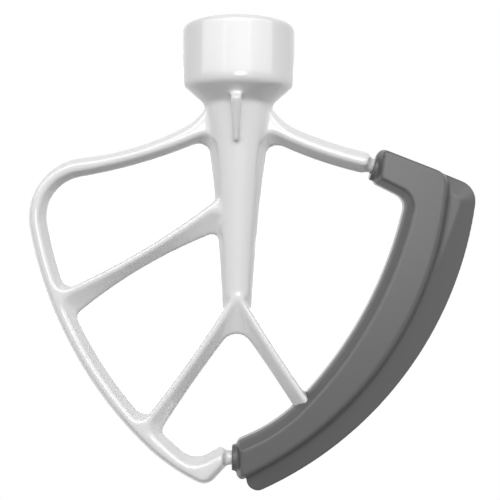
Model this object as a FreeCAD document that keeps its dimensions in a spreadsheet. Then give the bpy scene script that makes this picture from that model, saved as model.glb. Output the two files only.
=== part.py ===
import FreeCAD, Part
import math
import os
import Sketcher

# Flat beater for a stand mixer: a cast frame with a white coat and a grey silicone wiping edge moulded on it.
# Origin at the mouth of the shaft bore, on the hub's top face. +Z up, the frame lies in the XZ plane.

doc = FreeCAD.newDocument("flat_beater")
sheet = doc.addObject("Spreadsheet::Sheet", "Sizes")
TINY = 1e-4
ARM_DROP = "atan(Sizes.arm_right_fall / (Sizes.arm_right_x - Sizes.arm_root_x))"

# Driving dimensions in millimetres and degrees
SIZES = [
    ("hub_diameter", "38.5"),
    ("hub_height", "21.3"),
    ("hub_top_round", "1.7"),
    ("hub_rim_round", "3"),
    ("cone_drop", "5.8"),
    ("cone_foot_round", "2.2"),
    ("shaft_top_diameter", "24.2"),
    ("shaft_foot_diameter", "10.7"),
    ("shaft_foot_level", "92.5"),
    ("shaft_bow", "0.75"),
    ("shaft_end_level", "105"),
    ("shaft_end_width", "9.2"),
    ("shaft_end_depth", "2.4"),
    ("bore_diameter", "12.9"),
    ("bore_depth", "26"),
    ("key_width", "5.2"),
    ("key_reach", "12.4"),
    ("lock_level", "15"),
    ("lock_angle", "62"),
    ("rib_x", "0.5"),
    ("rib_top_level", "25.8"),
    ("rib_foot_level", "39.6"),
    ("rib_top_stand", "16"),
    ("rib_foot_stand", "11.2"),
    ("rib_top_diameter", "4.1"),
    ("rib_foot_diameter", "2"),
    ("rib_end_diameter", "2.2"),
    ("rib_top_slant", "38"),
    ("rib_web", "1.6"),
    ("rib_web_drop", "2.4"),
    ("rib_web_root", "9"),
    ("frame_half_depth", "5.5"),
    ("land_half_depth", "1.3"),
    ("ridge_round", "0.55"),
    ("bar_radius", "140.1"),
    ("bar_centre_x", "65.9"),
    ("bar_centre_z", "43.6"),
    ("bar_width", "6.3"),
    ("bar_foot_width", "7.2"),
    ("bar_ridge", "2.2"),
    ("corner_round", "20.5"),
    ("corner_window_round", "13.7"),
    ("arm_root_x", "20"),
    ("arm_root_z", "39"),
    ("arm_left_x", "55"),
    ("arm_left_fall", "9.8"),
    ("arm_left_z", "=arm_root_z + arm_left_fall"),
    ("arm_left_width", "5.8"),
    ("arm_left_flare", "0.4"),
    ("arm_left_sag", "1.3"),
    ("arm_right_x", "45.4"),
    ("arm_right_fall", "7.8"),
    ("arm_right_z", "=arm_root_z + arm_right_fall"),
    ("arm_right_width", "7.4"),
    ("arm_right_sag", "0.6"),
    ("arm_ridge", "2.4"),
    ("arm_top_blend", "20.8"),
    ("arm_neck_x", "8"),
    ("arm_neck_level", "14"),
    ("arm_foot_blend", "4.2"),
    ("arm_end_round", "2.2"),
    ("strut_root_x", "14"),
    ("strut_root_z", "69.1"),
    ("strut_end_x", "52"),
    ("strut_end_z", "91.5"),
    ("strut_width", "5.7"),
    ("strut_flare", "1.2"),
    ("strut_lift", "0.2"),
    ("strut_ridge", "1.5"),
    ("leg_root_x", "4.15"),
    ("leg_root_z", "102"),
    ("leg_left_x", "26.1"),
    ("leg_left_z", "133.2"),
    ("leg_right_x", "26.6"),
    ("leg_right_z", "135"),
    ("leg_width", "6"),
    ("leg_flare", "0.4"),
    ("leg_ridge", "1.2"),
    ("side_run", "0.8"),
    ("crotch_round", "5.5"),
    ("window_round", "2.6"),
    ("window_tight_round", "2.4"),
    ("shaft_lap", "0.35"),
    ("shaft_run", "2.85"),
    ("window_ridge_round", "4"),
    ("ridge_corner_round", "0.8"),
    ("leg_root_blend", "2"),
    ("arch_half_width", "3.2"),
    ("arch_level", "93.65"),
    ("arch_rise", "2.25"),
    ("arch_clear_level", "72"),
    ("arch_clear_half_depth", "4.2"),
    ("tip_bend_x", "22"),
    ("tip_bend_z", "152.6"),
    ("tip_bend_round", "70"),
    ("tip_x", "12.2"),
    ("tip_z", "157.5"),
    ("tip_round", "4.9"),
    ("knob_end_x", "3.4"),
    ("knob_top_z", "143.3"),
    ("knob_low_x", "8.1"),
    ("knob_low_z", "156.6"),
    ("knob_bend_x", "12.3"),
    ("knob_bend_z", "148.4"),
    ("knob_bend_round", "7"),
    ("knob_end_round", "1.9"),
    ("knob_foot_z", "151.5"),
    ("knob_foot_round", "1"),
    ("knob_run", "2.2"),
    ("neck_diameter", "5.2"),
    ("neck_foot_z", "148.5"),
    ("neck_foot_reach", "8"),
    ("neck_head_z", "=arm_right_z"),
    ("collar_drop", "1.2"),
    ("neck_head_reach", "54"),
    ("neck_lap", "1.2"),
    ("edge_half_depth", "8"),
    ("edge_shelf_half_depth", "4.3"),
    ("edge_shelf_run", "0.6"),
    ("edge_belt_half_depth", "1.9"),
    ("edge_front_round", "0.6"),
    ("edge_inner_run", "2.5"),
    ("edge_outer_run", "2.6"),
    ("edge_end_run", "1.6"),
    ("edge_top_run", "1.1"),
    ("edge_foot_x", "0.2"),
    ("edge_foot_outer_z", "156.6"),
    ("edge_foot_inner_z", "142.5"),
    ("edge_foot_round", "2"),
    ("edge_outer_x", "72.2"),
    ("edge_outer_z", "60"),
    ("edge_outer_bow", "16.3"),
    ("edge_outer_round", "6.6"),
    ("edge_shoulder_x", "71.5"),
    ("edge_shoulder_z", "49.9"),
    ("edge_head_x", "48.2"),
    ("edge_head_top_z", "41"),
    ("edge_head_round", "2.5"),
    ("edge_lip_x", "46.7"),
    ("edge_lip_z", "53.4"),
    ("edge_lip_round", "1.5"),
    ("edge_bend_x", "57.9"),
    ("edge_bend_z", "58.9"),
    ("edge_bend_round", "4.6"),
    ("edge_inner_x", "24.3"),
    ("edge_inner_z", "125.6"),
    ("edge_inner_bow", "5"),
    ("edge_low_x", "8"),
    ("edge_low_z", "139"),
    ("edge_low_round", "56"),
    ("edge_corner_round", "0.9"),
    ("fin_tip_half_depth", "0.8"),
    ("fin_root_half_depth", "3"),
    ("fin_slope_run", "10.5"),
    ("fin_end_run", "6"),
    ("fin_foot_x", "3.6"),
    ("fin_foot_z", "162"),
    ("fin_foot_round", "4"),
    ("fin_outer_x", "81.9"),
    ("fin_outer_z", "62"),
    ("fin_bow", "16.9"),
    ("fin_head_x", "84.3"),
    ("fin_head_z", "55.2"),
    ("fin_head_round", "7.5"),
    ("fin_root_x", "66"),
    ("fin_root_z", "47.9"),
    ("fin_root_inset", "7"),
    ("collar_foot_x", "1.4"),
    ("collar_foot_diameter", "9"),
    ("collar_head_x", "46.4"),
    ("collar_head_diameter", "8.8"),
    ("collar_lap", "2"),
    ("core_wall", "4.6"),
    ("core_half_depth", "3"),
]


def fill_sheet():
    for row, (alias, value) in enumerate(SIZES, start=1):
        sheet.set("A%d" % row, alias)
        sheet.set("B%d" % row, value)
        sheet.setAlias("B%d" % row, alias)
    doc.recompute()


def size(alias):
    return float(sheet.get(alias))


def point(across, up):
    return FreeCAD.Vector(across, up, 0)


def unit(vector):
    return FreeCAD.Vector(vector).normalize()


class Side:
    """One side of an outline that is walked with its inside on the left. A bow stands out to the right."""

    def __init__(self, start, end, bow=0.0):
        self.start = start
        self.end = end
        self.bow = bow
        along = unit(end - start)
        self.inward = point(-along.y, along.x)
        if bow:
            half = (end - start).Length / 2
            self.radius = (half * half + bow * bow) / (2 * abs(bow))
            crown = (start + end) * 0.5 - self.inward * bow
            self.hand = 1 if bow > 0 else -1
            self.centre = crown + self.inward * (self.hand * self.radius)

    def inset(self, middle, ends):
        """The same side moved inwards, by one distance at its middle and another at its ends."""
        shift = self.inward * ends
        return Side(self.start + shift, self.end + shift, self.bow - (middle - ends))

    def curve(self, inward):
        if self.bow:
            return Part.Circle(self.centre, FreeCAD.Vector(0, 0, 1), self.radius - self.hand * inward)
        shift = self.inward * inward
        return Part.Line(self.start + shift, self.end + shift)

    def foot(self, spot, inward):
        """Where a rounding centred on the spot touches this side."""
        if self.bow:
            return self.centre + unit(spot - self.centre) * self.radius
        return spot - self.inward * inward

    def piece(self, start, end):
        if self.bow:
            return arc(self.centre, start, end, self.hand > 0)
        return Part.LineSegment(start, end), False


def arc(centre, start, end, left_turn):
    first, last = (start, end) if left_turn else (end, start)
    low = math.atan2(first.y - centre.y, first.x - centre.x)
    high = math.atan2(last.y - centre.y, last.x - centre.x)
    if high < low:
        high += 2 * math.pi
    circle = Part.Circle(centre, FreeCAD.Vector(0, 0, 1), (start - centre).Length)
    return Part.ArcOfCircle(circle, low, high), not left_turn


def meeting(first, second, inward):
    """Centre of a rounding between two sides, or their corner when the rounding is nothing."""
    rough = (first.end + second.start) * 0.5
    crossings = first.curve(inward).intersect(second.curve(inward))
    spots = [point(spot.X, spot.Y) for spot in crossings]
    return min(spots, key=lambda spot: (spot - rough).Length)


def radius_of(rounding):
    """A rounding is a number or the name of a size, with a minus sign for an inner corner."""
    if not isinstance(rounding, str):
        return rounding
    value = size(rounding.lstrip("-"))
    return -value if rounding.startswith("-") else value


def rounded(sides, roundings):
    """Pieces of a closed outline. Each rounding belongs to the corner after its side."""
    touches = []
    for index, rounding in enumerate(roundings):
        radius = radius_of(rounding)
        first = sides[index]
        second = sides[(index + 1) % len(sides)]
        spot = meeting(first, second, radius)
        touches.append((spot, first.foot(spot, radius), second.foot(spot, radius)))
    pieces = []
    for index, side in enumerate(sides):
        rounding = roundings[index]
        spot, leave, enter = touches[index]
        pieces.append(side.piece(touches[index - 1][2], leave) + ("",))
        if rounding:
            alias = rounding.lstrip("-") if isinstance(rounding, str) else ""
            pieces.append(arc(spot, leave, enter, radius_of(rounding) > 0) + (alias,))
    return pieces


def polygon(corners, first_bow=0.0):
    """Pieces of an outline with straight sides, but for a bow in the first one."""
    sides = [Side(start, end) for start, end in zip(corners, corners[1:] + corners[:1])]
    sides[0] = Side(corners[0], corners[1], first_bow)
    return rounded(sides, [0] * len(sides))


def origin_item(body, role):
    return [item for item in body.Origin.OriginFeatures if item.Role == role][0]


def new_sketch(body, name, plane, depth=None):
    sketch = body.newObject("Sketcher::SketchObject", name)
    sketch.AttachmentSupport = [(origin_item(body, plane), "")]
    sketch.MapMode = "FlatFace"
    if depth:
        sketch.setExpression("AttachmentOffset.Base.z", depth)
    return sketch


def draw(sketch, pieces):
    """Draws a closed outline, each piece tied to the next and each named rounding to its size."""
    for geometry, _, _ in pieces:
        sketch.addGeometry(geometry, False)
    for index, (geometry, backward, alias) in enumerate(pieces):
        following = (index + 1) % len(pieces)
        leave = 1 if backward else 2
        enter = 2 if pieces[following][1] else 1
        sketch.addConstraint(Sketcher.Constraint("Coincident", index, leave, following, enter))
        if alias:
            row = sketch.addConstraint(Sketcher.Constraint("Radius", index, geometry.Radius))
            sketch.setExpression("Constraints[%d]" % row, "Sizes." + alias)


def circle_in(sketch, diameter, across="", up=""):
    """A circle whose diameter and centre are expressions of the sheet."""
    item = sketch.addGeometry(Part.Circle(point(0, 0), FreeCAD.Vector(0, 0, 1), 1), False)
    row = sketch.addConstraint(Sketcher.Constraint("Diameter", item, 2.0))
    sketch.setExpression("Constraints[%d]" % row, diameter)
    for kind, place in (("DistanceX", across), ("DistanceY", up)):
        row = sketch.addConstraint(Sketcher.Constraint(kind, -1, 1, item, 3, 0.0))
        if place:
            sketch.setExpression("Constraints[%d]" % row, place)


def loft(body, kind, name, sketches):
    feature = body.newObject("PartDesign::" + kind, name)
    feature.Profile = sketches[0]
    feature.Sections = sketches[1:]
    feature.Ruled = True
    doc.recompute()
    return feature


def layered(body, kind, name, layers):
    """A ruled loft through outlines at the given depths, from back to front."""
    sketches = []
    for index, (depth, pieces) in enumerate(layers):
        sketch = new_sketch(body, "%s_level_%d" % (name, index + 1), "XZ_Plane", depth)
        draw(sketch, pieces)
        sketches.append(sketch)
    doc.recompute()
    return loft(body, kind, name, sketches)


def through(start, crown, end):
    """A side that runs through a point near its middle."""
    along = unit(end - start)
    inward = point(-along.y, along.x)
    return Side(start, end, -(crown - (start + end) * 0.5).dot(inward))


class Bar:
    """One bar of the frame along a line from its root to its end, with a sag to the right of that line."""

    def __init__(self, root, end, width, flare=0.0, sag=0.0):
        along = unit(end - root)
        self.left = point(-along.y, along.x)
        self.root = root
        self.end = end
        self.width = width
        self.flare = flare
        self.crown = (root + end) * 0.5 - self.left * sag

    def side(self, hand, forward, offset):
        """The side at an offset from the middle line, left for hand 1 and right for hand -1."""
        aside = self.left * hand
        start = self.root + aside * (offset + self.flare)
        end = self.end + aside * (offset + self.flare)
        crown = self.crown + aside * offset
        return through(start, crown, end) if forward else through(end, crown, start)

    def outer(self, hand, forward, inset=0.0):
        return self.side(hand, forward, self.width / 2 - inset)

    def facet(self, hand, forward, ridge):
        """The ridge line that goes with this side: the ridge keeps to the other side of the bar."""
        aside = self.left * hand
        offset = size("side_run") + ridge - self.width / 2
        start = self.root + aside * (offset - self.flare)
        end = self.end + aside * (offset - self.flare)
        crown = self.crown + aside * offset
        return through(start, crown, end) if forward else through(end, crown, start)


def arm_left():
    root = point(-size("arm_root_x"), -size("arm_root_z"))
    end = point(-size("arm_left_x"), -size("arm_left_z"))
    return Bar(root, end, size("arm_left_width"), size("arm_left_flare"), -size("arm_left_sag"))


def arm_right():
    root = point(size("arm_root_x"), -size("arm_root_z"))
    end = point(size("arm_right_x"), -size("arm_right_z"))
    return Bar(root, end, size("arm_right_width"), 0.0, size("arm_right_sag"))


def strut():
    root = point(-size("strut_root_x"), -size("strut_root_z"))
    end = point(-size("strut_end_x"), -size("strut_end_z"))
    return Bar(root, end, size("strut_width"), size("strut_flare"), size("strut_lift"))


def leg(hand):
    name = "leg_left" if hand < 0 else "leg_right"
    root = point(hand * size("leg_root_x"), -size("leg_root_z"))
    end = point(hand * size(name + "_x"), -size(name + "_z"))
    return Bar(root, end, size("leg_width"), size("leg_flare"))


def bar_side(inset, level_from, level_to):
    """The left bar's outer edge, or a line inset from it, between two levels below the hub's top."""
    radius = size("bar_radius") - inset

    def on_bar(level):
        drop = level - size("bar_centre_z")
        return point(size("bar_centre_x") - math.sqrt(radius * radius - drop * drop), -level)

    middle = (level_from + level_to) / 2
    return through(on_bar(level_from), on_bar(middle), on_bar(level_to))


def shaft_radius(level):
    """Radius of the shaft at a level below the hub's top: an arc that bows in towards the axis."""
    top_level = size("hub_height") + size("cone_drop")
    top = point(size("shaft_top_diameter") / 2, -top_level)
    foot = point(size("shaft_foot_diameter") / 2, -size("shaft_foot_level"))
    side = Side(foot, top, -size("shaft_bow"))
    drop = -level - side.centre.y
    return side.centre.x - math.sqrt(side.radius ** 2 - drop * drop)


def shaft_side(hand, level_from, level_to, inset):
    """The frame's edge along the shaft, a little inside the shaft's own outline."""
    levels = (level_from, (level_from + level_to) / 2, level_to)
    start, crown, end = [point(hand * (shaft_radius(level) - inset), -level) for level in levels]
    return through(start, crown, end)


def level_side(across, level_from, level_to):
    """An upright straight side."""
    return Side(point(across, -level_from), point(across, -level_to))


def frame_outline(on_ridge):
    """Outer outline of the cast frame, on its parting land or on its ridges."""
    arm_l, arm_r, leg_l, leg_r = arm_left(), arm_right(), leg(-1), leg(1)
    neck, neck_level = size("arm_neck_x"), size("arm_neck_level")
    knob_end, knob_run = size("knob_end_x"), size("knob_run")
    bar_run = (size("bar_width") - size("bar_ridge")) / 2
    foot_inset = size("bar_foot_width") - (bar_run if on_ridge else 0)
    knob_foot = point(-knob_end, -size("knob_foot_z"))
    knob_top = point(-knob_end, -size("knob_top_z"))
    knob_low = Side(point(-size("knob_low_x"), -size("knob_low_z")), knob_foot)
    knob_up = Side(knob_top, point(-size("knob_bend_x"), -size("knob_bend_z")))
    knob_front = Side(knob_foot, knob_top)
    tip_bend = point(-size("tip_bend_x"), -size("tip_bend_z"))
    tip = Side(tip_bend, point(-size("tip_x"), -size("tip_z")))
    arm_half_l = size("arm_ridge") / 2 if on_ridge else arm_l.width / 2
    arm_half_r = size("arm_ridge") / 2 if on_ridge else arm_r.width / 2
    arm_cap = Side(arm_r.end - arm_r.left, arm_r.end + arm_r.left)
    leg_cap = Side(leg_r.end - leg_r.left, leg_r.end + leg_r.left)
    ridge = size("leg_ridge")
    sides = [
        arm_r.side(1, False, arm_half_r),
        level_side(neck, size("hub_height"), neck_level),
        Side(point(neck, -neck_level), point(-neck, -neck_level)),
        level_side(-neck, neck_level, size("hub_height")),
        arm_l.side(-1, True, arm_half_l),
        bar_side(bar_run if on_ridge else 0, size("arm_left_z"), size("leg_left_z")),
        tip.inset(bar_run, bar_run) if on_ridge else tip,
        knob_low.inset(knob_run, knob_run) if on_ridge else knob_low,
        knob_front.inset(knob_run / 2, knob_run / 2) if on_ridge else knob_front,
        knob_up.inset(knob_run, knob_run) if on_ridge else knob_up,
        bar_side(foot_inset, size("knob_bend_z"), size("leg_left_z")),
        leg_l.facet(1, False, ridge) if on_ridge else leg_l.outer(1, False),
        leg_r.facet(-1, True, ridge) if on_ridge else leg_r.outer(-1, True),
        leg_cap,
        leg_r.outer(1, False, size("side_run") if on_ridge else 0),
        shaft_edge(1, size("shaft_foot_level"), size("arm_root_z"), on_ridge),
        arm_r.side(-1, True, arm_half_r),
        arm_cap.inset(knob_run / 2, knob_run / 2) if on_ridge else arm_cap,
    ]
    if not on_ridge:
        return rounded(sides, [
            "-arm_top_blend", 0, 0, "-arm_top_blend", "corner_round", "tip_bend_round", "tip_round",
            "knob_foot_round", "knob_end_round", "-knob_bend_round", "-window_tight_round", "-crotch_round",
            0, 0, "-leg_root_blend", "-arm_foot_blend", "arm_end_round", "arm_end_round"])
    small = size("ridge_corner_round")
    return rounded(sides, [
        "-arm_top_blend", 0, 0, "-arm_top_blend", size("corner_round") - bar_run,
        size("tip_bend_round") - bar_run, size("tip_round") - knob_run, small, small,
        -size("knob_bend_round") - knob_run, "-window_ridge_round", -small, 0, 0,
        "-leg_root_blend", "-window_ridge_round", small, small])


def shaft_edge(hand, level_from, level_to, on_ridge):
    """The frame's edge beside the shaft. On the ridges it hides inside the shaft."""
    inset = size("shaft_lap")
    if on_ridge:
        inset += size("shaft_run")
    return shaft_side(hand, level_from, level_to, inset)


def upper_window(on_ridge):
    """The window between the left arm, the left bar, the strut and the shaft."""
    arm, bar = arm_left(), strut()
    bar_inset = (size("bar_width") + size("bar_ridge")) / 2 if on_ridge else size("bar_width")
    run = size("side_run") if on_ridge else 0
    sides = [
        bar.outer(-1, False, run),
        shaft_edge(-1, size("strut_root_z"), size("arm_root_z"), on_ridge),
        arm.side(1, True, size("arm_ridge") / 2 if on_ridge else arm.width / 2),
        bar_side(bar_inset, size("arm_left_z"), size("strut_end_z")),
    ]
    if not on_ridge:
        return rounded(sides, ["window_round", "arm_foot_blend", "corner_window_round", "window_round"])
    corner = size("corner_window_round") + size("bar_width") - bar_inset
    return rounded(sides, ["window_round", "window_ridge_round", corner, "window_ridge_round"])


def middle_window(on_ridge):
    """The window between the strut, the left bar, the left leg and the shaft."""
    bar, foot = strut(), leg(-1)
    bar_inset = (size("bar_width") + size("bar_ridge")) / 2 if on_ridge else size("bar_width")
    sides = [
        foot.outer(-1, False, size("side_run") if on_ridge else 0),
        shaft_edge(-1, size("shaft_foot_level"), size("strut_root_z"), on_ridge),
        bar.facet(1, True, size("strut_ridge")) if on_ridge else bar.outer(1, True),
        bar_side(bar_inset, size("strut_end_z"), size("leg_left_z")),
    ]
    if not on_ridge:
        return rounded(sides, ["leg_root_blend", "window_tight_round", "window_tight_round", "window_round"])
    return rounded(sides, ["leg_root_blend"] + ["window_ridge_round"] * 3)


def mirrored(levels):
    """The given outlines behind the middle plane and again in front of it."""
    behind = [("-Sizes." + depth, outline) for depth, outline in levels]
    before = [("Sizes." + depth, outline) for depth, outline in reversed(levels)]
    return behind + before


def frame_levels(outline):
    return mirrored([("frame_half_depth", outline(True)), ("land_half_depth", outline(False))])


def round_level(body, base, name, depth, radius):
    """Rounds every edge of the flat faces at the given depth, front and back."""
    names = []
    for index, edge in enumerate(base.Shape.Edges, start=1):
        box = edge.BoundBox
        if abs(abs(box.YMin) - size(depth)) < TINY and box.YLength < TINY:
            names.append("Edge%d" % index)
    fillet = body.newObject("PartDesign::Fillet", name)
    fillet.Base = (base, names)
    fillet.setExpression("Radius", "Sizes." + radius)
    doc.recompute()
    return fillet


def hub_outline():
    """Half section of the hub, the cone under it and the tapered shaft."""
    rim, cone_foot = size("hub_diameter") / 2, size("shaft_top_diameter") / 2
    hub_level = size("hub_height")
    cone_level = hub_level + size("cone_drop")
    foot, foot_level = size("shaft_foot_diameter") / 2, size("shaft_foot_level")
    sides = [
        Side(point(0, -foot_level), point(foot, -foot_level)),
        Side(point(foot, -foot_level), point(cone_foot, -cone_level), -size("shaft_bow")),
        Side(point(cone_foot, -cone_level), point(rim, -hub_level)),
        Side(point(rim, -hub_level), point(rim, 0)),
        Side(point(rim, 0), point(0, 0)),
        Side(point(0, 0), point(0, -foot_level)),
    ]
    return rounded(sides, [0, "-cone_foot_round", "hub_rim_round", "hub_top_round", 0, 0])


def edge_outline(inner, outer, ends, top):
    """Outline of the silicone edge, with its sides moved inwards by the given runs."""
    foot, lip = size("edge_foot_x"), point(size("edge_lip_x"), -size("edge_lip_z"))
    foot_outer, foot_inner = point(foot, -size("edge_foot_outer_z")), point(foot, -size("edge_foot_inner_z"))
    head = point(size("edge_head_x"), -size("edge_head_top_z"))
    bend = point(size("edge_bend_x"), -size("edge_bend_z"))
    shoulder = point(size("edge_shoulder_x"), -size("edge_shoulder_z"))
    outer_end = point(size("edge_outer_x"), -size("edge_outer_z"))
    sides = [
        Side(foot_outer, outer_end, size("edge_outer_bow")).inset(outer, outer),
        Side(shoulder, head).inset(top, top),
        Side(head, lip).inset(ends, ends),
        Side(lip, bend).inset(ends, ends),
        edge_inner(inner),
        Side(point(size("edge_low_x"), -size("edge_low_z")), foot_inner).inset(inner, inner),
        Side(foot_inner, foot_outer).inset(ends, ends),
    ]
    if not inner:
        return rounded(sides, [
            "edge_outer_round", "edge_head_round", "edge_lip_round", "-edge_bend_round", "-edge_low_round",
            "edge_foot_round", "edge_foot_round"])

    def inside(alias):
        return max(size(alias) - ends, size("edge_corner_round"))

    return rounded(sides, [
        inside("edge_outer_round"), inside("edge_head_round"), inside("edge_lip_round"),
        -size("edge_bend_round") - inner, -size("edge_low_round") - inner,
        inside("edge_foot_round"), inside("edge_foot_round")])


def edge_inner(inset):
    """The long inner side of the silicone edge."""
    start = point(size("edge_bend_x"), -size("edge_bend_z"))
    end = point(size("edge_inner_x"), -size("edge_inner_z"))
    side = Side(start, end, -size("edge_inner_bow"))
    return side.inset(inset, inset)


def fin_outline(at_root):
    """The wiping fin's thin rim or its thick root. Its inner side lies hidden in the silicone edge."""
    foot, ends = size("fin_foot_x"), size("fin_end_run")
    outer_end = point(size("fin_outer_x"), -size("fin_outer_z"))
    outer = Side(point(foot, -size("fin_foot_z")), outer_end, size("fin_bow"))
    head_end = point(size("fin_root_x"), -size("fin_root_z"))
    head = Side(point(size("fin_head_x"), -size("fin_head_z")), head_end)
    inner = edge_inner(size("fin_root_inset"))
    foot_side = level_side(foot, size("edge_foot_outer_z"), size("fin_foot_z"))
    if not at_root:
        return rounded([outer, head, inner, foot_side], ["fin_head_round", 0, 0, "fin_foot_round"])
    outer = outer.inset(size("fin_slope_run"), ends)
    sides = [outer, head.inset(ends, ends), inner, foot_side.inset(ends, ends)]
    return rounded(sides, [size("fin_head_round") - ends, 0, 0, "edge_corner_round"])


def pad(body, name, sketch, length, midplane=False):
    feature = body.newObject("PartDesign::Pad", name)
    feature.Profile = sketch
    feature.setExpression("Length", length)
    if midplane:
        feature.SideType = "Symmetric"
    doc.recompute()
    return feature


def pocket(body, name, sketch, length, along_normal=False):
    before = body.Shape.Volume
    feature = body.newObject("PartDesign::Pocket", name)
    feature.Profile = sketch
    feature.Reversed = along_normal
    feature.setExpression("Length", length)
    doc.recompute()
    if body.Shape.Volume >= before:
        raise RuntimeError("%s removes nothing" % name)
    return feature


def lean(item, angle):
    """Turns a sketch about its own first axis."""
    item.setExpression("AttachmentOffset.Rotation.Axis.x", "1")
    item.setExpression("AttachmentOffset.Rotation.Axis.z", "0")
    item.setExpression("AttachmentOffset.Rotation.Angle", angle)


def round_pin(body, name, start, length, diameter, level, drop=""):
    """A round pin in the frame's plane, along +X or leaning down by an angle."""
    sketch = new_sketch(body, name + "_circle", "YZ_Plane", start)
    sketch.setExpression("AttachmentOffset.Base.y", "-" + level)
    if drop:
        lean(sketch, drop)
    circle_in(sketch, diameter)
    return pad(body, name, sketch, length)


def add_rib(body):
    """A tapered pin that leans out of the shaft's front on a web, with a slanted top and a round foot."""
    top = new_sketch(body, "rib_top", "XY_Plane")
    circle_in(top, "Sizes.rib_top_diameter")
    top.setExpression("AttachmentOffset.Base.x", "-Sizes.rib_x")
    top.setExpression("AttachmentOffset.Base.y", "-Sizes.rib_top_stand")
    top.setExpression("AttachmentOffset.Base.z", "-Sizes.rib_top_level")
    lean(top, "Sizes.rib_top_slant")
    foot = new_sketch(body, "rib_foot", "XY_Plane", "-Sizes.rib_foot_level")
    circle_in(foot, "Sizes.rib_foot_diameter", "-Sizes.rib_x", "-Sizes.rib_foot_stand")
    doc.recompute()
    loft(body, "AdditiveLoft", "rib", [top, foot])
    ball = body.newObject("PartDesign::AdditiveSphere", "rib_end")
    ball.AttachmentSupport = [(origin_item(body, "XY_Plane"), "")]
    ball.MapMode = "FlatFace"
    ball.setExpression("Radius", "Sizes.rib_end_diameter / 2")
    ball.setExpression("AttachmentOffset.Base.x", "-Sizes.rib_x")
    ball.setExpression("AttachmentOffset.Base.y", "-Sizes.rib_foot_stand")
    ball.setExpression("AttachmentOffset.Base.z", "-Sizes.rib_foot_level")
    root, foot_level = -size("rib_web_root"), -size("rib_foot_level")
    top_level = -size("rib_top_level") - size("rib_web_drop")
    corners = [point(-size("rib_foot_stand"), foot_level), point(root, foot_level),
               point(root, top_level), point(-size("rib_top_stand"), top_level)]
    web = new_sketch(body, "rib_web_outline", "YZ_Plane", "-Sizes.rib_x")
    draw(web, polygon(corners))
    pad(body, "rib_web", web, "Sizes.rib_web", True)


def clear_arch(body):
    """Ends the ridges in an arch above the legs, and clears the front and back of the shaft above it."""
    half, level, top = size("arch_half_width"), -size("arch_level"), -size("arch_clear_level")
    corners = [point(-half, level), point(half, level), point(half, top), point(-half, top)]
    for name, depth, front in (("front_arch", "Sizes.arch_clear_half_depth", True),
                               ("back_arch", "-Sizes.arch_clear_half_depth", False)):
        sketch = new_sketch(body, name + "_outline", "XZ_Plane", depth)
        draw(sketch, polygon(corners, -size("arch_rise")))
        pocket(body, name, sketch, "Sizes.frame_half_depth", front)


def add_shaft_end(body):
    """The shaft's flattened end, hidden between the legs."""
    ring = new_sketch(body, "shaft_foot_circle", "XY_Plane", "-Sizes.shaft_foot_level")
    circle_in(ring, "Sizes.shaft_foot_diameter")
    oval = new_sketch(body, "shaft_end_oval", "XY_Plane", "-Sizes.shaft_end_level")
    ellipse = Part.Ellipse(point(0, 0), size("shaft_end_width") / 2, size("shaft_end_depth") / 2)
    oval.addGeometry(ellipse, False)
    doc.recompute()
    loft(body, "AdditiveLoft", "shaft_end", [ring, oval])


def cut_bore(body):
    """The round shaft bore with a keyway and a turning slot for the cross pin of the mixer's shaft."""
    sketch = new_sketch(body, "bore_circle", "XY_Plane")
    circle_in(sketch, "Sizes.bore_diameter")
    pocket(body, "shaft_bore", sketch, "Sizes.bore_depth")
    half, reach = size("key_width") / 2, size("key_reach")
    corners = [point(-half, 0), point(half, 0), point(half, reach), point(-half, reach)]
    sketch = new_sketch(body, "key_outline", "XY_Plane")
    draw(sketch, polygon(corners))
    pocket(body, "keyway", sketch, "Sizes.lock_level + Sizes.key_width / 2")
    turn = math.radians(size("lock_angle"))
    start, end = point(0, reach), point(-reach * math.sin(turn), reach * math.cos(turn))
    middle = point(0, 0)
    sector = [Side(middle, start), Side(start, end, reach * (1 - math.cos(turn / 2))), Side(end, middle)]
    sketch = new_sketch(body, "lock_outline", "XY_Plane", "-(Sizes.lock_level - Sizes.key_width / 2)")
    draw(sketch, rounded(sector, [0] * len(sector)))
    pocket(body, "lock_slot", sketch, "Sizes.key_width")


def make_frame():
    body = doc.addObject("PartDesign::Body", "beater_frame")
    layered(body, "AdditiveLoft", "bars", frame_levels(frame_outline))
    layered(body, "SubtractiveLoft", "upper_window", frame_levels(upper_window))
    plate = layered(body, "SubtractiveLoft", "middle_window", frame_levels(middle_window))
    round_level(body, plate, "ridge_rounding", "frame_half_depth", "ridge_round")
    clear_arch(body)
    sketch = new_sketch(body, "hub_section", "XZ_Plane")
    draw(sketch, hub_outline())
    hub = body.newObject("PartDesign::Revolution", "hub_and_shaft")
    hub.Profile = sketch
    hub.ReferenceAxis = (sketch, ["V_Axis"])
    hub.Angle = 360
    doc.recompute()
    add_shaft_end(body)
    add_rib(body)
    round_pin(body, "foot_neck", "-Sizes.knob_end_x - Sizes.neck_lap",
              "Sizes.knob_end_x + Sizes.neck_lap + Sizes.neck_foot_reach",
              "Sizes.neck_diameter", "Sizes.neck_foot_z")
    round_pin(body, "head_neck", "Sizes.arm_right_x - Sizes.neck_lap",
              "Sizes.neck_head_reach - Sizes.arm_right_x + Sizes.neck_lap",
              "Sizes.neck_diameter", "Sizes.neck_head_z", ARM_DROP)
    sketch = new_sketch(body, "core_outline", "XZ_Plane")
    wall = size("core_wall")
    draw(sketch, edge_outline(wall, wall, wall, wall))
    pad(body, "core_bar", sketch, "2 * Sizes.core_half_depth", True)
    cut_bore(body)
    return body


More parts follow.
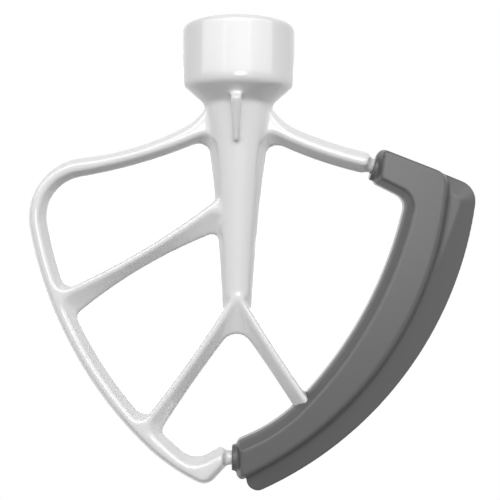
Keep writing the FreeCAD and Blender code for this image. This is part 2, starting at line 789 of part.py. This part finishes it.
def make_edge(core):
    """The silicone edge: moulded body, fin and collars, hollow where the frame runs through it."""
    body = doc.addObject("PartDesign::Body", "edge_moulding")
    belt, step = edge_outline(0, 0, 0, 0), size("edge_shelf_run")
    shelf = edge_outline(step, step, step, step)
    face_runs = [size("edge_%s_run" % side) for side in ("inner", "outer", "end", "top")]
    face = edge_outline(*face_runs)
    base = layered(body, "AdditiveLoft", "grip", mirrored([
        ("edge_half_depth", face), ("edge_shelf_half_depth", shelf), ("edge_belt_half_depth", belt)]))
    round_level(body, base, "face_rounding", "edge_half_depth", "edge_front_round")
    layered(body, "AdditiveLoft", "fin", mirrored([
        ("fin_root_half_depth", fin_outline(True)), ("fin_tip_half_depth", fin_outline(False))]))
    round_pin(body, "foot_collar", "-Sizes.collar_foot_x",
              "Sizes.collar_foot_x + Sizes.edge_foot_x + Sizes.collar_lap",
              "Sizes.collar_foot_diameter", "Sizes.neck_foot_z")
    round_pin(body, "head_collar", "Sizes.collar_head_x",
              "Sizes.edge_head_x - Sizes.collar_head_x + Sizes.collar_lap",
              "Sizes.collar_head_diameter", "(Sizes.neck_head_z + Sizes.collar_drop)", ARM_DROP)
    edge = doc.addObject("Part::Cut", "flex_edge")
    edge.Base = body
    edge.Tool = core
    doc.recompute()
    return edge


def check_and_write(parts):
    for item in doc.Objects:
        if "Invalid" in item.State or "Error" in item.State:
            raise RuntimeError("%s failed: %s" % (item.Name, item.State))
    for part in parts:
        if part.Shape.isNull() or not part.Shape.isValid():
            raise RuntimeError("%s has no valid shape" % part.Label)
    os.makedirs("parts", exist_ok=True)
    for part in parts:
        part.Shape.exportStep("parts/%s.step" % part.Label)
        box = part.Shape.BoundBox
        print(part.Label, len(part.Shape.Solids), round(part.Shape.Volume), box)


fill_sheet()
frame = make_frame()
check_and_write([frame, make_edge(frame)])
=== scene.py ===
import math
import bpy
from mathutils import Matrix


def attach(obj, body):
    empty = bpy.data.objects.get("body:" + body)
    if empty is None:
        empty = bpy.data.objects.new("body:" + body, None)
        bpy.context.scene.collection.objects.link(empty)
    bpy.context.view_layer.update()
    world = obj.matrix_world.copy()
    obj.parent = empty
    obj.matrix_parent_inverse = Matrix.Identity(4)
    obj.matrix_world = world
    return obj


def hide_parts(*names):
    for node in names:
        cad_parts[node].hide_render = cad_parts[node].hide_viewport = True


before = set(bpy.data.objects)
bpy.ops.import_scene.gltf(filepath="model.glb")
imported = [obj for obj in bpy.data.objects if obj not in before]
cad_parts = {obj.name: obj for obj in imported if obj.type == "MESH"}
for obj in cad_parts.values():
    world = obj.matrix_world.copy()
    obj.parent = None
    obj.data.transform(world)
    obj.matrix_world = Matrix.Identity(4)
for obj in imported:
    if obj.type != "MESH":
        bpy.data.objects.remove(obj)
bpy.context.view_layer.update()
print("solids loaded", len(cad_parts))

# Metres and degrees. The origin is at the mouth of the bore, +Z is up and the front looks towards -Y.


def deselectAll():
    if bpy.context.object and bpy.context.object.mode != "OBJECT":
        bpy.ops.object.mode_set(mode="OBJECT")
    bpy.ops.object.select_all(action="DESELECT")


def pick(piece):
    deselectAll()
    piece.select_set(True)
    bpy.context.view_layer.objects.active = piece


def copyOfNode(settings, name):
    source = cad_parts[settings["node"]]
    piece = bpy.data.objects.new(name, source.data.copy())
    bpy.context.scene.collection.objects.link(piece)
    piece.matrix_world = source.matrix_world.copy()
    pick(piece)
    bpy.ops.object.transform_apply(location=True, rotation=True, scale=True)
    bpy.ops.object.mode_set(mode="EDIT")
    bpy.ops.mesh.select_all(action="SELECT")
    bpy.ops.mesh.remove_doubles(threshold=settings["weld"])
    bpy.ops.object.mode_set(mode="OBJECT")
    return piece


def softenEdges(piece, settings):
    pick(piece)
    remesh = piece.modifiers.new("evenSkin", "REMESH")
    remesh.mode = "VOXEL"
    remesh.voxel_size = settings["voxel"]
    bpy.ops.object.modifier_apply(modifier=remesh.name)
    smooth = piece.modifiers.new("softEdges", "SMOOTH")
    smooth.factor = settings["softenStep"]
    smooth.iterations = settings["softenPasses"]
    bpy.ops.object.modifier_apply(modifier=smooth.name)
    bpy.ops.object.shade_smooth()


def newMaterial(name):
    material = bpy.data.materials.new(name)
    material.use_nodes = True
    return material, material.node_tree.nodes, material.node_tree.links


def baseFinish(shader, settings):
    shader.inputs["Base Color"].default_value = settings["colour"]
    shader.inputs["Roughness"].default_value = settings["roughness"]
    shader.inputs["Specular IOR Level"].default_value = settings["specular"]


def addGrain(nodes, links, shader, settings):
    coords = nodes.new("ShaderNodeTexCoord")
    grain = nodes.new("ShaderNodeTexNoise")
    grain.inputs["Scale"].default_value = settings["grainScale"]
    grain.inputs["Detail"].default_value = settings["grainDetail"]
    bump = nodes.new("ShaderNodeBump")
    bump.inputs["Strength"].default_value = settings["grainDepth"]
    bump.inputs["Distance"].default_value = settings["grainHeight"]
    links.new(coords.outputs["Object"], grain.inputs["Vector"])
    links.new(grain.outputs["Fac"], bump.inputs["Height"])
    links.new(bump.outputs["Normal"], shader.inputs["Normal"])


def finishPiece(piece, settings, material):
    piece.data.materials.clear()
    piece.data.materials.append(material)
    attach(piece, "root")
    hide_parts(settings["node"])
    print(piece.name, "faces", len(piece.data.polygons))


# The cast frame under its baked white enamel.
coatedFrame = {
    "node": "beater_frame",
    "slot": "white_coat",
    "weld": 0.00002,
    "voxel": 0.00056,           # fine enough for the small rib under the hub
    "softenPasses": 12,         # the coat rounds every cast edge
    "softenStep": 0.5,
    "colour": (0.80, 0.80, 0.80, 1.0),
    "roughness": 0.35,
    "specular": 0.5,
    "gloss": 1.0,               # clear top layer of the enamel
    "glossRoughness": 0.11,
    "glossIor": 1.65,
    "grainScale": 620.0,        # slight orange peel
    "grainDetail": 2.0,
    "grainDepth": 0.01,
    "grainHeight": 0.0004,
}


def makeWhiteCoat():
    material, nodes, links = newMaterial("whiteCoat")
    shader = nodes["Principled BSDF"]
    baseFinish(shader, coatedFrame)
    shader.inputs["Coat Weight"].default_value = coatedFrame["gloss"]
    shader.inputs["Coat Roughness"].default_value = coatedFrame["glossRoughness"]
    shader.inputs["Coat IOR"].default_value = coatedFrame["glossIor"]
    addGrain(nodes, links, shader, coatedFrame)
    return material


def makeCoatedFrame():
    piece = copyOfNode(coatedFrame, "coatedFrame")
    softenEdges(piece, coatedFrame)
    finishPiece(piece, coatedFrame, makeWhiteCoat())


# The soft wiping edge with its fin, moulded on the frame.
siliconeEdge = {
    "node": "flex_edge",
    "slot": "grey_silicone",
    "weld": 0.00002,
    "voxel": 0.00045,
    "softenPasses": 2,
    "softenStep": 0.5,
    "colour": (0.1, 0.1, 0.1, 1.0),
    "roughness": 0.35,
    "specular": 0.6,
    "grainScale": 2600.0,       # fine matt grain of the mould
    "grainDetail": 2.0,
    "grainDepth": 0.03,
    "grainHeight": 0.0004,
}


def makeGreySilicone():
    material, nodes, links = newMaterial("greySilicone")
    shader = nodes["Principled BSDF"]
    baseFinish(shader, siliconeEdge)
    addGrain(nodes, links, shader, siliconeEdge)
    return material


def makeSiliconeEdge():
    piece = copyOfNode(siliconeEdge, "siliconeEdge")
    softenEdges(piece, siliconeEdge)
    finishPiece(piece, siliconeEdge, makeGreySilicone())


# 1 where the camera, a reflection or a clear piece looks at the surroundings, and 0 for the light they give.
def seenRays(nodes, links):
    path = nodes.new("ShaderNodeLightPath")
    mirrored = nodes.new("ShaderNodeMath")
    mirrored.operation = "MAXIMUM"
    seen = nodes.new("ShaderNodeMath")
    seen.operation = "MAXIMUM"
    links.new(path.outputs["Is Glossy Ray"], mirrored.inputs[0])
    links.new(path.outputs["Is Transmission Ray"], mirrored.inputs[1])
    links.new(path.outputs["Is Camera Ray"], seen.inputs[0])
    links.new(mirrored.outputs["Value"], seen.inputs[1])
    return seen.outputs["Value"]


paleFloor = {
    "level": -1.6,              # far enough below to stay out of the front view
    "size": 3.2,
    "colour": (0.6, 0.6, 0.6, 1.0),
    "roughness": 0.9,
    "specular": 0.0,
    "lift": 0.6,                # keeps it pale where it is seen
}


def makeFloor():
    deselectAll()
    bpy.ops.mesh.primitive_plane_add(size=paleFloor["size"], location=(0, 0, paleFloor["level"]))
    floor = bpy.context.object
    floor.name = "paleFloor"
    material, nodes, links = newMaterial("paleFloor")
    shader = nodes["Principled BSDF"]
    baseFinish(shader, paleFloor)
    shader.inputs["Emission Color"].default_value = paleFloor["colour"]
    lift = nodes.new("ShaderNodeMath")
    lift.operation = "MULTIPLY"
    lift.inputs[1].default_value = paleFloor["lift"]
    links.new(seenRays(nodes, links), lift.inputs[0])
    links.new(lift.outputs["Value"], shader.inputs["Emission Strength"])
    floor.data.materials.append(material)
    print("floor laid")


# Heights run from -1, straight down, to 1, straight up. Levels are the light that comes from there.
studioSky = {
    "seen": (1.0, 1.0, 1.0, 1.0),
    "heights": (-1.0, -0.03, 0.08, 0.5, 1.0),
    "levels": (0.0, 0.0, 0.95, 0.3, 0.05),
}


def makeSky():
    world = bpy.data.worlds.new("studioWorld")
    bpy.context.scene.world = world
    world.use_nodes = True
    nodes, links = world.node_tree.nodes, world.node_tree.links
    nodes.clear()
    white = nodes.new("ShaderNodeBackground")
    white.inputs["Color"].default_value = studioSky["seen"]
    white.inputs["Strength"].default_value = 1.0
    way = nodes.new("ShaderNodeTexCoord")
    parts = nodes.new("ShaderNodeSeparateXYZ")
    height = nodes.new("ShaderNodeMapRange")
    height.inputs["From Min"].default_value = -1.0
    height.inputs["From Max"].default_value = 1.0
    ramp = nodes.new("ShaderNodeValToRGB")
    stops = ramp.color_ramp.elements
    while len(stops) < len(studioSky["heights"]):
        stops.new(0.5)
    for stop, place, level in zip(stops, studioSky["heights"], studioSky["levels"]):
        stop.position = (place + 1) / 2      # the ramp runs from 0 to 1
        stop.color = (level, level, level, 1)
    fill = nodes.new("ShaderNodeBackground")
    mix = nodes.new("ShaderNodeMixShader")
    out = nodes.new("ShaderNodeOutputWorld")
    links.new(way.outputs["Generated"], parts.inputs["Vector"])
    links.new(parts.outputs["Z"], height.inputs["Value"])
    links.new(height.outputs["Result"], ramp.inputs["Fac"])
    links.new(ramp.outputs["Color"], fill.inputs["Color"])
    links.new(seenRays(nodes, links), mix.inputs["Fac"])
    links.new(fill.outputs["Background"], mix.inputs[1])
    links.new(white.outputs["Background"], mix.inputs[2])
    links.new(mix.outputs["Shader"], out.inputs["Surface"])
    print("sky set")


# Softboxes on rings round the middle of the beater, all aimed at it. Azimuth counts from the front to the
# right, and a level of 1 looks as bright as white.
softboxMiddle = (0.0, 0.0, -0.08)
softboxes = {
    # name: azimuth, elevation, distance, width, height, level
    "lowFront": (6.0, 6.0, 1.0, 0.44, 0.22, 5.0),
    "stripLeft": (-52.0, 18.5, 1.0, 0.91, 0.13, 1.75),
    "stripFront": (-3.0, 18.5, 1.0, 0.91, 0.13, 1.6),
    "stripRight": (46.0, 18.5, 1.0, 0.91, 0.13, 1.6),
    "highLeft": (-50.0, 30.0, 1.3, 1.16, 0.34, 1.9),
    "highFront": (0.0, 30.0, 1.3, 1.16, 0.34, 4.0),
    "highRight": (46.0, 30.0, 1.3, 1.16, 0.34, 1.9),
    "backFill": (180.0, 0.0, 1.5, 1.6, 0.8, 1.2),
}


def makeSoftboxes():
    for name, (azimuth, elevation, distance, width, height, level) in softboxes.items():
        data = bpy.data.lights.new(name, "AREA")
        data.shape = "RECTANGLE"
        data.size = width
        data.size_y = height
        data.energy = math.pi * width * height * level
        light = bpy.data.objects.new(name, data)
        bpy.context.scene.collection.objects.link(light)
        turn, rise = math.radians(azimuth), math.radians(elevation)
        flat = distance * math.cos(rise)
        light.location = (softboxMiddle[0] + flat * math.sin(turn), softboxMiddle[1] - flat * math.cos(turn),
                          softboxMiddle[2] + distance * math.sin(rise))
        light.rotation_euler = (math.radians(90) - rise, 0, turn)
        light.visible_camera = False
    print("softboxes set", len(softboxes))


photoCamera = {
    "place": (0.00435, -0.295, -0.0768),
    "roll": -0.4,
    "lens": 61.4,
    "sensor": 36.0,
    "nearest": 0.01,
}


def makeCamera():
    data = bpy.data.cameras.new("photoCamera")
    data.sensor_width = photoCamera["sensor"]
    data.lens = photoCamera["lens"]
    data.clip_start = photoCamera["nearest"]
    eye = bpy.data.objects.new("photoCamera", data)
    bpy.context.scene.collection.objects.link(eye)
    eye.location = photoCamera["place"]
    eye.rotation_euler = (math.radians(90), math.radians(photoCamera["roll"]), 0)
    bpy.context.scene.camera = eye
    print("camera set")


bpy.context.scene.view_settings.view_transform = "Standard"
makeCoatedFrame()
makeSiliconeEdge()
makeFloor()
makeSky()
makeSoftboxes()
makeCamera()
